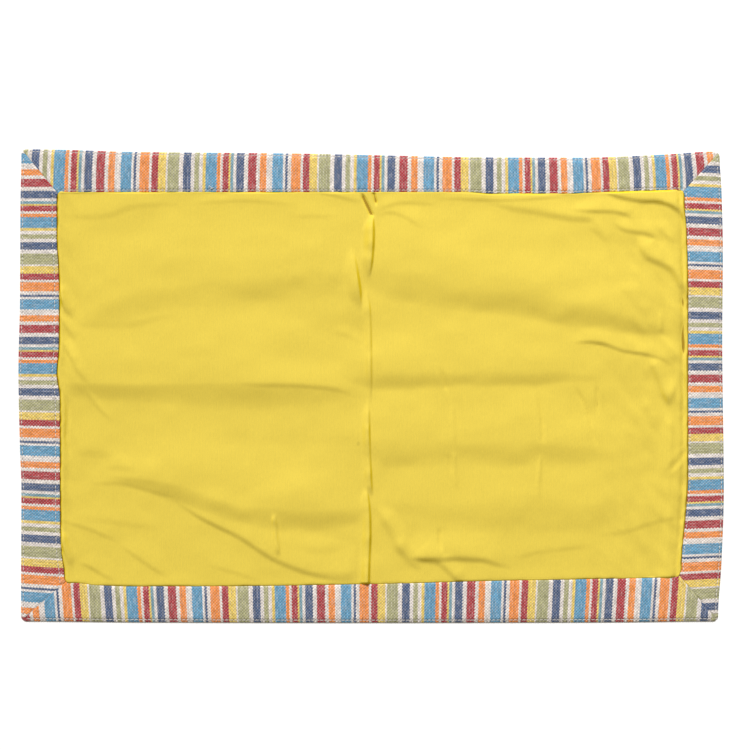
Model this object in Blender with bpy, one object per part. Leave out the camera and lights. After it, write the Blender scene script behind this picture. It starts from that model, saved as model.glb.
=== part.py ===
"""Fabric placemat: a yellow woven panel inside a mitred border of four striped strips, lying flat.

Metres, +Z up. X runs along the mat, Y across it, and the origin lies under its middle. The tables and the
functions that read them work in millimetres, and the meshes are scaled to metres as they are made.
"""
import math
from collections import namedtuple

import bmesh
import bpy
import numpy as np

MM = 0.001

# Driving dimensions, in millimetres
MAT_LENGTH = 457.0       # hem to hem along X
MAT_WIDTH = 305.0        # hem to hem along Y
PANEL_LENGTH = 408.0     # seam to seam along X
PANEL_WIDTH = 254.0      # seam to seam along Y
STRIP_WIDTH = (MAT_WIDTH - PANEL_WIDTH) / 2
SEAM_GAP = 0.3           # between any two pieces
PANEL_THICKNESS = 1.4    # upper face above lower face, away from the seam
EDGE_EASE = 16.0         # the folds die out over this distance from the seam
COLUMN_PITCH = 9.0       # spacing of the mesh along X
ROW_PITCH = 5.6          # spacing of the mesh along Y
CORNER_STEPS = (0.0, 1.3, 3.0, 6.5)      # closer spacing near each corner
CREASE_STEPS = (-9.0, -5.0, -2.2, -0.6, 0.8, 3.0)   # closer spacing either side of the centre crease

# Corner radii of the hem and of the seam: top left, top right, bottom right, bottom left
HEM_RADII = {"top_left": 3.5, "top_right": 3.5, "bottom_right": 3.5, "bottom_left": 3.5}
SEAM_RADII = {"top_left": 4.0, "top_right": 4.5, "bottom_right": 7.0, "bottom_left": 4.0}

# Each side: the corners at the low and the high end of its run, and the way it faces
Side = namedtuple("Side", "low_corner high_corner low_side high_side along_x sign")
SIDES = {
    "top": Side("top_left", "top_right", "left", "right", True, 1),
    "bottom": Side("bottom_left", "bottom_right", "left", "right", True, -1),
    "left": Side("bottom_left", "top_left", "bottom", "top", False, -1),
    "right": Side("bottom_right", "top_right", "bottom", "top", False, 1),
}

# How far each hemmed edge wanders out of its straight line: (along, out)
HEM_WANDER = {
    "top": ((-220, 1.7), (-190, 1.1), (-160, 0.1), (-45, -1.1), (20, -2.5), (70, -3.5), (135, -3.7),
            (190, -1.7), (222, 0.2)),
    "bottom": ((-220, 0.4), (-150, 1.0), (-7, 1.3), (150, 1.0), (222, 0.4)),
    "left": ((-145, -0.6), (-67, -0.8), (-41, 0.1), (11, 1.1), (56, 0.1), (118, -0.2), (150, -0.8)),
    "right": ((-148, -2.8), (-116, -0.7), (-67, 0.9), (30, -0.1), (89, 0.3), (128, -0.6), (150, -1.8)),
}

# The same for the seam between the panel and the border
SEAM_WANDER = {
    "top": ((-200, -0.7), (60, -0.7), (80, -1.7), (125, -1.7), (150, -0.7), (200, 0.6)),
    "bottom": ((-194, 0.9), (-175, 2.6), (-155, 3.2), (-95, 3.1), (-60, 2.7), (25, 1.1), (80, -0.4), (120, -1.1),
               (198, -2.4)),
    "left": ((-123, -4.3), (-108, -2.5), (-90, -1.7), (-8, -1.4), (8, 0.6), (26, -0.7), (60, -1.0), (80, -0.4),
             (95, 0.6), (115, 0.6)),
    "right": ((-116, -2.0), (-84, 0.6), (-60, 2.2), (65, 2.2), (101, 1.2), (118, -0.1)),
}

# Section of a border strip, walked from the foot of its hem over the top to the foot of its seam:
# (share of the strip's width measured from the hem, distance in from that point, height)
SectionPoint = namedtuple("SectionPoint", "share inset height")
BORDER_SECTION = (
    SectionPoint(0, 0.6, 0.0),      # foot of the rolled hem
    SectionPoint(0, 0.0, 0.6),
    SectionPoint(0, 0.3, 1.35),
    SectionPoint(0, 1.7, 1.55),     # line of the topstitch
    SectionPoint(0, 3.4, 1.75),
    SectionPoint(1, -3.2, 1.7),
    SectionPoint(1, -0.7, 1.35),    # rolled down into the seam
    SectionPoint(1, 0.0, 0.8),
    SectionPoint(1, 0.0, 0.0),      # foot of the seam
)

# Thickness of the panel beside the seam, where its turned-in edge puffs up: (distance from the seam, thickness)
PANEL_EDGE = ((0.0, 0.9), (1.3, 1.6), (3.0, 1.8), (9.0, PANEL_THICKNESS))

# Main folds of the panel, each a ridge along a crest that runs through a few places. Seen while walking the crest,
# the cloth falls away to the left over one width and to the right over another, which may change along the way.
# "bend" shapes the right-hand fall: above 1 the crest is soft and the foot sharp, below 1 the other way round.
# "fade_in" and "fade_out" are the shares of the crest's length over which the ridge rises and dies out.
Fold = namedtuple("Fold", "name height left right_start right_end bend fade_in fade_out crest")
FOLDS = (
    Fold("upper left", 1.7, 46, 14, 20, 1.0, 0.30, 0.22,
         ((-198, 44), (-150, 64), (-111, 68), (-72, 73), (-33, 75), (9, 69))),
    Fold("mid left", 1.9, 60, 13, 24, 0.65, 0.05, 0.25,
         ((-210, 2), (-111, 2), (-66, 2), (-24, 1), (0, -1))),
    Fold("low left", 2.4, 46, 10, 18, 1.0, 0.28, 0.30,
         ((-180, -54), (-128, -63), (-85, -76), (-59, -80), (-27, -79), (19, -78))),
    Fold("low left branch", 1.3, 6, 2.6, 5, 1.5, 0.25, 0.08,
         ((-130, -73), (-107, -86), (-84, -97), (-63, -110), (-46, -117), (-7, -127))),
    Fold("upper right", 2.5, 44, 17, 12, 1.5, 0.22, 0.12,
         ((-20, 81), (25, 77), (84, 66), (149, 53), (214, 37))),
    Fold("mid right", 1.8, 36, 12, 10, 1.5, 0.20, 0.28,
         ((-27, 10.5), (51, 13), (97, 12.5), (160, 7))),
    Fold("lower right", 2.2, 36, 15, 13, 1.0, 0.20, 0.30,
         ((-27, -32), (32, -35), (110, -36), (178, -43))),
    Fold("low right", 1.4, 34, 18, 18, 1.0, 0.30, 0.30,
         ((-14, -73), (45, -77), (123, -77), (198, -75))),
    Fold("upper pleat", 1.3, 2.0, 6, 6, 0.65, 0.22, 0.22,
         ((-7, 128), (-2, 116), (1, 110))),
    Fold("upper centre crease", 1.1, 1.8, 7, 7, 0.65, 0.12, 0.30,
         ((1, 116), (0.3, 99), (0, 89), (-2, 69))),
    Fold("side crease", 1.3, 2.2, 8, 8, 0.65, 0.30, 0.30,
         ((-14, 92), (-10, 72), (-7, 50))),
    Fold("middle centre crease", 0.5, 1.5, 6, 6, 0.65, 0.25, 0.30,
         ((-3, 68), (-1, 30), (-1.2, -15))),
    Fold("lower centre crease", 1.0, 1.8, 6, 6, 0.65, 0.15, 0.05,
         ((-2, -6), (-2, -42), (-1.5, -68), (-1.6, -100), (-3, -132))),
)
CREST_STEP = 4.0         # length of the straight pieces a crest is followed in
NARROWEST = 0.45         # width left where a ridge has died out, as a share of its full width
SMOOTH_BELOW = 60.0      # edges that turn by less than this many degrees are shaded smooth

# Finishes: linear base colour and roughness
YELLOW_CLOTH = ((0.82, 0.60, 0.09), 0.85)
STRIPED_CLOTH = ((0.46, 0.33, 0.29), 0.85)


def smooth_step(t):
    """Ease from 0 to 1 as t goes from 0 to 1, level at both ends."""
    t = np.clip(t, 0.0, 1.0)
    return t * t * (3.0 - 2.0 * t)


def smooth_through(rows, at):
    """Read a smooth curve through a table's rows: a cubic between each two, level at every turn and at the ends."""
    knots, values = np.array(rows, dtype=float).T
    rise = np.diff(values) / np.diff(knots)
    same_way = rise[:-1] * rise[1:] > 0
    before, after = rise[:-1][same_way], rise[1:][same_way]
    slopes = np.zeros(len(knots))
    slopes[1:-1][same_way] = 2 * before * after / (before + after)
    at = np.clip(at, knots[0], knots[-1])
    left = np.clip(np.searchsorted(knots, at) - 1, 0, len(knots) - 2)
    span = knots[left + 1] - knots[left]
    t = (at - knots[left]) / span
    ends = (1 + 2 * t) * (1 - t) ** 2 * values[left] + t * t * (3 - 2 * t) * values[left + 1]
    return ends + span * t * (1 - t) * ((1 - t) * slopes[left] - t * slopes[left + 1])


def stations(length, pitch, close_steps):
    """Spread distances over a length: close to both corners, close round the middle, even elsewhere."""
    near = np.array(CORNER_STEPS)
    middle = length / 2 + np.array(close_steps)
    first_free, last_free = near[-1], (middle[0] if len(middle) else length - near[-1])
    runs = [near, np.linspace(first_free, last_free, 1 + round((last_free - first_free) / pitch))[1:]]
    if len(middle):
        tail = length - near[-1] - middle[-1]
        runs += [middle[1:], middle[-1] + np.linspace(0, tail, 1 + round(tail / pitch))[1:]]
    runs.append(length - near[-2::-1])
    return np.concatenate(runs) / length


class Outline:
    """A wandering rectangle with round corners, read side by side."""

    def __init__(self, length, width, wander, radii):
        self.half = {True: length / 2, False: width / 2}
        self.wander = wander
        self.radii = radii

    def reach(self, side_name, along):
        """Distance from the mat's middle line to a side, at a place along that side."""
        return self.half[not SIDES[side_name].along_x] + smooth_through(self.wander[side_name], along)

    def side(self, side_name, shares):
        """Points of one side, from the middle of its low corner's arc to the middle of its high one's."""
        side = SIDES[side_name]
        half_run = self.half[side.along_x]
        facing = side.sign * self.half[not side.along_x]
        low = -self.reach(side.low_side, facing)
        high = self.reach(side.high_side, facing)
        r_low, r_high = self.radii[side.low_corner], self.radii[side.high_corner]
        arc_share = 1 - math.sqrt(0.5)
        run_low, run_high = low + r_low * arc_share, high - r_high * arc_share
        along = run_low + (run_high - run_low) * shares
        into_low = np.clip(low + r_low - along, 0, None)
        into_high = np.clip(along - (high - r_high), 0, None)
        drop = (r_low - np.sqrt(r_low ** 2 - into_low ** 2)) + (r_high - np.sqrt(r_high ** 2 - into_high ** 2))
        out = side.sign * (self.reach(side_name, np.clip(along, -half_run, half_run)) - drop)
        return np.column_stack((along, out) if side.along_x else (out, along))


def moved_out(points, side_name, distance):
    """Move a side's points outwards: square to the side, and along the diagonal at its two corners."""
    side = SIDES[side_name]
    way = np.gradient(points, axis=0)
    square = np.column_stack((-way[:, 1], way[:, 0])) * (side.sign if side.along_x else -side.sign)
    square[[0, -1]] = np.sign(points[[0, -1]])
    return points + distance * square / np.linalg.norm(square, axis=1, keepdims=True)


def grid_between(sides, columns, rows):
    """Fill the inside of four sides with a grid: blend opposite sides and take the corners' share off."""
    top, bottom, left, right = (sides[name] for name in ("top", "bottom", "left", "right"))
    u, v = columns[None, :, None], rows[:, None, None]
    across = (1 - u) * left[:, None] + u * right[:, None]
    upward = (1 - v) * bottom[None] + v * top[None]
    corners = ((1 - u) * (1 - v) * bottom[0] + u * (1 - v) * bottom[-1] + (1 - u) * v * top[0] + u * v * top[-1])
    return across + upward - corners


def crest_line(places):
    """Follow a smooth curve through a crest's places in short straight pieces."""
    places = np.array(places, dtype=float)
    legs = np.linalg.norm(np.diff(places, axis=0), axis=1)
    travelled = np.concatenate(([0.0], np.cumsum(legs)))
    at = np.linspace(0, travelled[-1], 2 + int(travelled[-1] / CREST_STEP))
    slopes = np.gradient(places, travelled, axis=0)
    leg = np.clip(np.searchsorted(travelled, at) - 1, 0, len(legs) - 1)
    t = ((at - travelled[leg]) / legs[leg])[:, None]
    ends = (1 + 2 * t) * (1 - t) ** 2 * places[leg] + t * t * (3 - 2 * t) * places[leg + 1]
    return ends + legs[leg][:, None] * t * (1 - t) * ((1 - t) * slopes[leg] - t * slopes[leg + 1])


def fold_height(fold, x, y):
    """Height of the cloth over one ridge: full at its crest, nothing beyond its two widths and past its ends."""
    line = crest_line(fold.crest)
    legs = np.diff(line, axis=0)
    lengths = np.linalg.norm(legs, axis=1)
    starts = np.concatenate(([0.0], np.cumsum(lengths)))
    distance = np.full(x.shape, np.inf)
    travelled = np.zeros(x.shape)
    on_left = np.zeros(x.shape, dtype=bool)
    for foot, leg, length, start in zip(line[:-1], legs, lengths, starts[:-1]):
        to_x, to_y = x - foot[0], y - foot[1]
        share = np.clip((to_x * leg[0] + to_y * leg[1]) / length ** 2, 0, 1)
        here = np.hypot(to_x - share * leg[0], to_y - share * leg[1])
        nearer = here < distance
        distance = np.where(nearer, here, distance)
        travelled = np.where(nearer, start + share * length, travelled)
        on_left = np.where(nearer, leg[0] * to_y > leg[1] * to_x, on_left)
    along = travelled / starts[-1]
    strength = smooth_step(along / fold.fade_in) * smooth_step((1 - along) / fold.fade_out)
    narrowing = NARROWEST + (1 - NARROWEST) * strength
    right = fold.right_start + (fold.right_end - fold.right_start) * along
    left_fall = smooth_step(distance / (fold.left * narrowing))
    right_fall = smooth_step(np.clip(distance / (right * narrowing), 0, 1) ** fold.bend)
    return fold.height * strength * (1 - np.where(on_left, left_fall, right_fall))


def seam_distance(points):
    """Distance of each point of the panel's grid from its nearest side."""
    x, y = points[..., 0], points[..., 1]
    across = np.minimum(x - x[:, :1], x[:, -1:] - x)
    upward = np.minimum(y - y[:1], y[-1:] - y)
    return np.minimum(across, upward)


def solid(name, points, faces, finish):
    """Make a named object, one closed body, from its points in millimetres and its faces."""
    mesh = bpy.data.meshes.new(name)
    mesh.from_pydata((points.reshape(-1, 3) * MM).tolist(), [], faces)
    body = bmesh.new()
    body.from_mesh(mesh)
    bmesh.ops.recalc_face_normals(body, faces=body.faces)
    body.to_mesh(mesh)
    body.free()
    mesh.shade_smooth()
    mesh.set_sharp_from_angle(angle=math.radians(SMOOTH_BELOW))
    mesh.materials.append(cloth_material(name + " cloth", *finish))
    thing = bpy.data.objects.new(name, mesh)
    bpy.context.collection.objects.link(thing)
    return thing


def cloth_material(name, colour, roughness):
    """A plain cloth finish."""
    material = bpy.data.materials.new(name)
    material.use_nodes = True
    shader = material.node_tree.nodes["Principled BSDF"]
    shader.inputs["Base Color"].default_value = (*colour, 1.0)
    shader.inputs["Roughness"].default_value = roughness
    shader.inputs["Metallic"].default_value = 0.0
    return material


def centre_panel(seam, columns, rows):
    """The yellow panel: a folded sheet whose edge puffs up beside the seam."""
    sides = {name: moved_out(seam.side(name, columns if side.along_x else rows), name, -SEAM_GAP / 2)
             for name, side in SIDES.items()}
    for name, end in (("left", 0), ("right", -1)):
        sides[name][0] = sides["bottom"][end]
        sides[name][-1] = sides["top"][end]
    plan = grid_between(sides, columns, rows)
    x, y = plan[..., 0], plan[..., 1]
    from_seam = seam_distance(plan)
    lower = sum(fold_height(fold, x, y) for fold in FOLDS) * smooth_step(from_seam / EDGE_EASE)
    upper = lower + smooth_through(PANEL_EDGE, from_seam)
    sheet = np.stack([np.dstack((plan, lower)), np.dstack((plan, upper))])
    return solid("centre_panel", sheet, sheet_faces(*lower.shape), YELLOW_CLOTH)


def sheet_faces(rows, columns):
    """Faces of a closed sheet: its lower grid, its upper grid and the wall round both."""
    index = np.arange(2 * rows * columns).reshape(2, rows, columns)
    faces = []
    for layer in index:
        faces += np.stack((layer[:-1, :-1], layer[:-1, 1:], layer[1:, 1:], layer[1:, :-1]), -1).reshape(-1, 4).tolist()
    lower, upper = (np.concatenate((g[0], g[1:, -1], g[-1, -2::-1], g[-2:0:-1, 0])) for g in index)
    faces += np.stack((lower, np.roll(lower, -1), np.roll(upper, -1), upper), -1).tolist()
    return faces


def border_strip(side_name, seam, hem, shares):
    """One strip of the border: its section carried along between the seam and the hem, cut on both mitres."""
    inner = moved_out(seam.side(side_name, shares), side_name, SEAM_GAP / 2)
    outer = hem.side(side_name, shares)
    back_from_mitre = SEAM_GAP / 2 * math.sqrt(2) * np.array((1, 0) if SIDES[side_name].along_x else (0, 1))
    for edge in (inner, outer):
        edge[0] += back_from_mitre
        edge[-1] -= back_from_mitre
    lines = []
    for point in BORDER_SECTION:
        plan = outer + (inner - outer) * (point.share + point.inset / STRIP_WIDTH)
        lines.append(np.column_stack((plan, np.full(len(plan), point.height))))
    rings = np.stack(lines, axis=1)
    return solid("border_" + side_name, rings, strip_faces(*rings.shape[:2]), STRIPED_CLOTH)


def strip_faces(count, points):
    """Faces of a strip: quads between neighbouring rings, and a cap at each end."""
    index = np.arange(count * points).reshape(count, points)
    after = np.roll(index, -1, axis=1)
    faces = np.stack((index[:-1], index[1:], after[1:], after[:-1]), -1).reshape(-1, 4).tolist()
    return faces + [index[0].tolist(), index[-1, ::-1].tolist()]


def main():
    for thing in list(bpy.data.objects):
        bpy.data.objects.remove(thing)
    seam = Outline(PANEL_LENGTH, PANEL_WIDTH, SEAM_WANDER, SEAM_RADII)
    hem = Outline(MAT_LENGTH, MAT_WIDTH, HEM_WANDER, HEM_RADII)
    columns = stations(PANEL_LENGTH, COLUMN_PITCH, CREASE_STEPS)
    rows = stations(PANEL_WIDTH, ROW_PITCH, ())
    centre_panel(seam, columns, rows)
    for side_name, side in SIDES.items():
        border_strip(side_name, seam, hem, columns if side.along_x else rows)


main()
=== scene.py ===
# %% [markdown]
# # A cloth placemat, lying flat
#
# The real mat is one cut of plain yellow cotton inside a border of four striped cotton strips, joined at the
# corners on 45 degree mitres and topstitched. It has been folded in a drawer, so a sharp crease runs down its
# middle and soft folds cross it.
#
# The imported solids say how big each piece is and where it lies. This lesson dresses them: each solid is
# replaced by a finer cloth surface that is worked out with numpy from the same outline and the same folds,
# and gets a woven material that follows the threads.

import math
from collections import namedtuple

import bpy
import numpy as np
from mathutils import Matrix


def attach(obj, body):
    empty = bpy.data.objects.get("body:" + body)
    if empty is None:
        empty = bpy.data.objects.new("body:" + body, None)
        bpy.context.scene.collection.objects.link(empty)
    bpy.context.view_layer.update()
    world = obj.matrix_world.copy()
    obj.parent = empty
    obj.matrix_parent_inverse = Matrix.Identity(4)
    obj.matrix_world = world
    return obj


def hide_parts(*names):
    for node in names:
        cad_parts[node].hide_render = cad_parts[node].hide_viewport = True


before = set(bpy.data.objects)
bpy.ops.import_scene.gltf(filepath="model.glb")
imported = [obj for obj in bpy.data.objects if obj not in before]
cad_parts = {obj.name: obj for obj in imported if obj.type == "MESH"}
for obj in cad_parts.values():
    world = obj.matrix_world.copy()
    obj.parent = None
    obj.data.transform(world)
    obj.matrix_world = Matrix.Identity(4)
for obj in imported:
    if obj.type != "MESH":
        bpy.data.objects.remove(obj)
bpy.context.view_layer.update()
print("solids:", sorted(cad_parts))

# %% [markdown]
# ## Sizes
#
# Cloth is easiest to think of in millimetres, so every size below is in millimetres, and only the last step,
# which fills a mesh, scales to the metres of the frame. The mat is 18 x 12 in, and its border is an inch
# wide. Its edges aren't straight: a short table for each side says how far the hem and the seam wander out of
# line.

# %% Sizes of the mat
MM = 0.001
MAT_LENGTH, MAT_WIDTH = 457.0, 305.0         # hem to hem
PANEL_LENGTH, PANEL_WIDTH = 408.0, 254.0     # seam to seam
STRIP_WIDTH = (MAT_WIDTH - PANEL_WIDTH) / 2
PANEL_TOP = 1.4                              # upper face of the flat panel above the table
SHEET_THICKNESS = 1.3                        # of the panel's cloth, upper face to lower face
TABLE_CLEARANCE = 0.03                       # the lowest face lies this far above the table

SEAM_RADII = {"top_left": 4.0, "top_right": 4.5, "bottom_right": 7.0, "bottom_left": 4.0}
HEM_RADII = dict.fromkeys(SEAM_RADII, 3.5)

# Each side: the corners at the low and the high end of its run, and the way it faces
Side = namedtuple("Side", "low_corner high_corner low_side high_side along_x sign")
SIDES = {
    "top": Side("top_left", "top_right", "left", "right", True, 1),
    "bottom": Side("bottom_left", "bottom_right", "left", "right", True, -1),
    "left": Side("bottom_left", "top_left", "bottom", "top", False, -1),
    "right": Side("bottom_right", "top_right", "bottom", "top", False, 1),
}

# How far each hemmed edge wanders out of its straight line: (along, out)
HEM_WANDER = {
    "top": ((-220, 1.7), (-190, 1.1), (-160, 0.1), (-45, -1.1), (20, -2.5), (70, -3.5), (135, -3.7),
            (190, -1.7), (222, 0.2)),
    "bottom": ((-220, 0.4), (-150, 1.0), (-7, 1.3), (150, 1.0), (222, 0.4)),
    "left": ((-145, -0.6), (-67, -0.8), (-41, 0.1), (11, 1.1), (56, 0.1), (118, -0.2), (150, -0.8)),
    "right": ((-148, -2.8), (-116, -0.7), (-67, 0.9), (30, -0.1), (89, 0.3), (128, -0.6), (150, -1.8)),
}

# The same for the seam between the panel and the border
SEAM_WANDER = {
    "top": ((-200, -0.7), (60, -0.7), (80, -1.7), (125, -1.7), (150, -0.7), (200, 0.6)),
    "bottom": ((-194, 0.9), (-175, 2.6), (-155, 3.2), (-95, 3.1), (-60, 2.7), (25, 1.1), (80, -0.4),
               (120, -1.1), (198, -2.4)),
    "left": ((-123, -4.3), (-108, -2.5), (-90, -1.7), (-8, -1.4), (8, 0.6), (26, -0.7), (60, -1.0),
             (80, -0.4), (95, 0.6), (115, 0.6)),
    "right": ((-116, -2.0), (-84, 0.6), (-60, 2.2), (65, 2.2), (101, 1.2), (118, -0.1)),
}
print("border strips are", STRIP_WIDTH, "mm wide")

# %% [markdown]
# ## Smooth curves from short tables
#
# Two small formulas do most of the work. One eases from 0 to 1. The other reads a smooth curve through a
# table's rows. A plain cubic spline would overshoot where two rows lie close together, so this one is
# monotone: it never goes past the values it is given.

# %% Smooth formulas
def smooth_step(t):
    """Ease from 0 to 1 as t goes from 0 to 1: three t squared less two t cubed."""
    t = np.clip(t, 0.0, 1.0)
    return t * t * (3.0 - 2.0 * t)


def cubic(t, span, start, end, start_slope, end_slope):
    """The cubic that has the values and slopes of both ends of a span, read at a share t of it."""
    between = (1 + 2 * t) * (1 - t) ** 2 * start + t * t * (3 - 2 * t) * end
    return between + span * t * (1 - t) * ((1 - t) * start_slope - t * end_slope)


def smooth_through(rows, at):
    """Read a smooth curve through (place, value) rows: a cubic between two rows, whose slopes are the
    harmonic means of the slopes on either side, and zero at every turn and at both ends."""
    knots, values = np.array(rows, dtype=float).T
    rise = np.diff(values) / np.diff(knots)
    same_way = rise[:-1] * rise[1:] > 0
    before, after = rise[:-1][same_way], rise[1:][same_way]
    slopes = np.zeros(len(knots))
    slopes[1:-1][same_way] = 2 * before * after / (before + after)
    at = np.clip(at, knots[0], knots[-1])
    left = np.clip(np.searchsorted(knots, at) - 1, 0, len(knots) - 2)
    span = knots[left + 1] - knots[left]
    t = (at - knots[left]) / span
    return cubic(t, span, values[left], values[left + 1], slopes[left], slopes[left + 1])


print("half of a smooth step is", float(smooth_step(0.5)))

# %% [markdown]
# ## The two outlines
#
# The hem and the seam are both wandering rectangles with round corners. A side is a function of one
# parameter, its share of the way along, so the same few lines give the edge of the panel, the edge of a strip
# and the line of a row of stitches.

# %% Outlines
class Outline:
    """A wandering rectangle with round corners, read side by side."""

    def __init__(self, length, width, wander, radii):
        self.half = {True: length / 2, False: width / 2}
        self.wander = wander
        self.radii = radii

    def reach(self, side_name, along):
        """Distance from the mat's middle line to a side, at a place along that side."""
        return self.half[not SIDES[side_name].along_x] + smooth_through(self.wander[side_name], along)

    def side(self, side_name, shares):
        """Points of one side, from the middle of its low corner's arc to the middle of its high one's. Within
        a radius r of a corner the side drops by r less the root of r squared less the distance squared."""
        side = SIDES[side_name]
        half_run = self.half[side.along_x]
        facing = side.sign * self.half[not side.along_x]
        low = -self.reach(side.low_side, facing)
        high = self.reach(side.high_side, facing)
        r_low, r_high = self.radii[side.low_corner], self.radii[side.high_corner]
        arc_share = 1 - math.sqrt(0.5)
        run_low, run_high = low + r_low * arc_share, high - r_high * arc_share
        along = run_low + (run_high - run_low) * shares
        into_low = np.clip(low + r_low - along, 0, None)
        into_high = np.clip(along - (high - r_high), 0, None)
        low_drop = r_low - np.sqrt(r_low ** 2 - into_low ** 2)
        drop = low_drop + (r_high - np.sqrt(r_high ** 2 - into_high ** 2))
        out = side.sign * (self.reach(side_name, np.clip(along, -half_run, half_run)) - drop)
        return np.column_stack((along, out) if side.along_x else (out, along))


def moved_out(points, side_name, distance):
    """Move a side's points outwards: square to the side, and along the diagonal at its two corners."""
    side = SIDES[side_name]
    way = np.gradient(points, axis=0)
    square = np.column_stack((-way[:, 1], way[:, 0])) * (side.sign if side.along_x else -side.sign)
    square[[0, -1]] = np.sign(points[[0, -1]])
    return points + distance * square / np.linalg.norm(square, axis=1, keepdims=True)


SEAM = Outline(PANEL_LENGTH, PANEL_WIDTH, SEAM_WANDER, SEAM_RADII)
HEM = Outline(MAT_LENGTH, MAT_WIDTH, HEM_WANDER, HEM_RADII)
for name in SIDES:
    low_end, high_end = HEM.side(name, np.array([0.0, 1.0])).round(1)
    print(name, "hem from", low_end, "to", high_end)

# %% [markdown]
# ## Folds and creases as ridges
#
# Cotton that has lain folded keeps two kinds of mark. Folds are broad: the cloth climbs slowly to a crest and
# falls off faster on one side. Creases are narrow, a millimetre or two. Cloth simulation would give folds of
# its own, in other places, so here each mark is listed one by one. One formula makes them all: a ridge along
# a smooth crest, with one width to its left and another to its right. First come the crest line and a
# formula for unevenness.

# %% Crest lines
CREST_STEP = 4.0         # length of the straight pieces a crest is followed in


def crest_line(places):
    """Follow a smooth curve through a crest's places in short straight pieces: between two places it is the
    cubic that keeps the direction of their neighbours."""
    places = np.array(places, dtype=float)
    legs = np.linalg.norm(np.diff(places, axis=0), axis=1)
    travelled = np.concatenate(([0.0], np.cumsum(legs)))
    at = np.linspace(0, travelled[-1], 2 + int(travelled[-1] / CREST_STEP))
    slopes = np.gradient(places, travelled, axis=0)
    leg = np.clip(np.searchsorted(travelled, at) - 1, 0, len(legs) - 1)
    t = ((at - travelled[leg]) / legs[leg])[:, None]
    return cubic(t, legs[leg][:, None], places[leg], places[leg + 1], slopes[leg], slopes[leg + 1])


def nearest_on(line, x, y):
    """For every point: how far it is from the line, how far along the line that is, and on which side."""
    legs = np.diff(line, axis=0)
    lengths = np.linalg.norm(legs, axis=1)
    starts = np.concatenate(([0.0], np.cumsum(lengths)))
    distance = np.full(x.shape, np.inf)
    travelled = np.zeros(x.shape)
    on_left = np.zeros(x.shape, dtype=bool)
    for foot, leg, length, start in zip(line[:-1], legs, lengths, starts[:-1]):
        to_x, to_y = x - foot[0], y - foot[1]
        share = np.clip((to_x * leg[0] + to_y * leg[1]) / length ** 2, 0, 1)
        here = np.hypot(to_x - share * leg[0], to_y - share * leg[1])
        nearer = here < distance
        distance = np.where(nearer, here, distance)
        travelled = np.where(nearer, start + share * length, travelled)
        on_left = np.where(nearer, leg[0] * to_y > leg[1] * to_x, on_left)
    return distance, travelled / starts[-1], on_left


print("a crest of 10 mm is followed through", len(crest_line(((0, 0), (4, 1), (10, 0)))), "places")

# %% Rumples
LATTICE = (97, 89)       # columns and rows of random numbers that unevenness is made from


def rumple(x, y, size_x, size_y, seed):
    """Smooth unevenness from -1 to 1: seeded random values on a lattice, eased between its corners."""
    columns, rows = LATTICE
    lattice = np.random.default_rng(seed).uniform(-1, 1, LATTICE)
    u, v = x / size_x, y / size_y
    i, j = np.floor(u).astype(int), np.floor(v).astype(int)
    s, t = smooth_step(u - i), smooth_step(v - j)
    a, b = i % columns, (i + 1) % columns
    c, d = j % rows, (j + 1) % rows
    low = lattice[a, c] * (1 - s) + lattice[b, c] * s
    high = lattice[a, d] * (1 - s) + lattice[b, d] * s
    return low * (1 - t) + high * t


def sum_of_rumples(table, x, y):
    """Add several sizes of unevenness, each a row of (height, size along X, size along Y, seed)."""
    return sum(height * rumple(x, y, size_x, size_y, seed) for height, size_x, size_y, seed in table)


print("a rumple at the origin:", float(rumple(np.zeros(1), np.zeros(1), 10, 10, 1)[0].round(3)))

# %% The ridge formula
Ridge = namedtuple("Ridge", "name height left right_start right_end bend fade_in fade_out crest")
NARROWEST = 0.45         # width left where a ridge has died out, as a share of its full width
SHORTEST_WAVER = 6.0     # a ridge's height wavers over this length at least
WAVER_SHARE = 0.8        # and else over this share of its width


def ridge_height(ridge, x, y, uneven):
    """Height of one ridge: its height at the crest times one less a smooth step of distance over width.
    "bend" is a power on the right-hand side's distance: above 1 the crest is soft and the foot sharp, below 1
    the other way. The strength eases in and out along the crest, and wavers by the share "uneven"."""
    line = crest_line(ridge.crest)
    reach = max(ridge.left, ridge.right_start, ridge.right_end)
    low, high = line.min(axis=0) - reach, line.max(axis=0) + reach
    close = (x > low[0]) & (x < high[0]) & (y > low[1]) & (y < high[1])
    distance, along, on_left = nearest_on(line, x[close], y[close])
    strength = smooth_step(along / ridge.fade_in) * smooth_step((1 - along) / ridge.fade_out)
    narrowing = NARROWEST + (1 - NARROWEST) * strength
    right = ridge.right_start + (ridge.right_end - ridge.right_start) * along
    left_fall = smooth_step(distance / (ridge.left * narrowing))
    right_fall = smooth_step(np.clip(distance / (right * narrowing), 0, 1) ** ridge.bend)
    waver_run = max(SHORTEST_WAVER, (ridge.left + ridge.right_start) * WAVER_SHARE)
    waver = 1 + uneven * rumple(along * CREST_STEP * len(line), 0 * along, waver_run, 1.0, seed=len(line))
    height = np.zeros(x.shape)
    height[close] = ridge.height * strength * waver * (1 - np.where(on_left, left_fall, right_fall))
    return height


def crease(name, height, left, right, fades, *crest):
    """A ridge of even width. Its right-hand side is a width, or a pair with its bend. Its fades are one
    number, or a pair for the start and the end."""
    right, bend = right if isinstance(right, tuple) else (right, 1)
    fade_in, fade_out = fades if isinstance(fades, tuple) else (fades, fades)
    return Ridge(name, height, left, right, right, bend, fade_in, fade_out, crest)


flat_line = crease("test", 1.0, 2, 4, 0.2, (0, 0), (10, 0))
heights = ridge_height(flat_line, np.full(3, 5.0), np.array([1.0, 0.0, -1.0]), 0.0)
print("1 mm to the left, on the crest and 1 mm to the right a ridge is", heights.round(2), "high")

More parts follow.
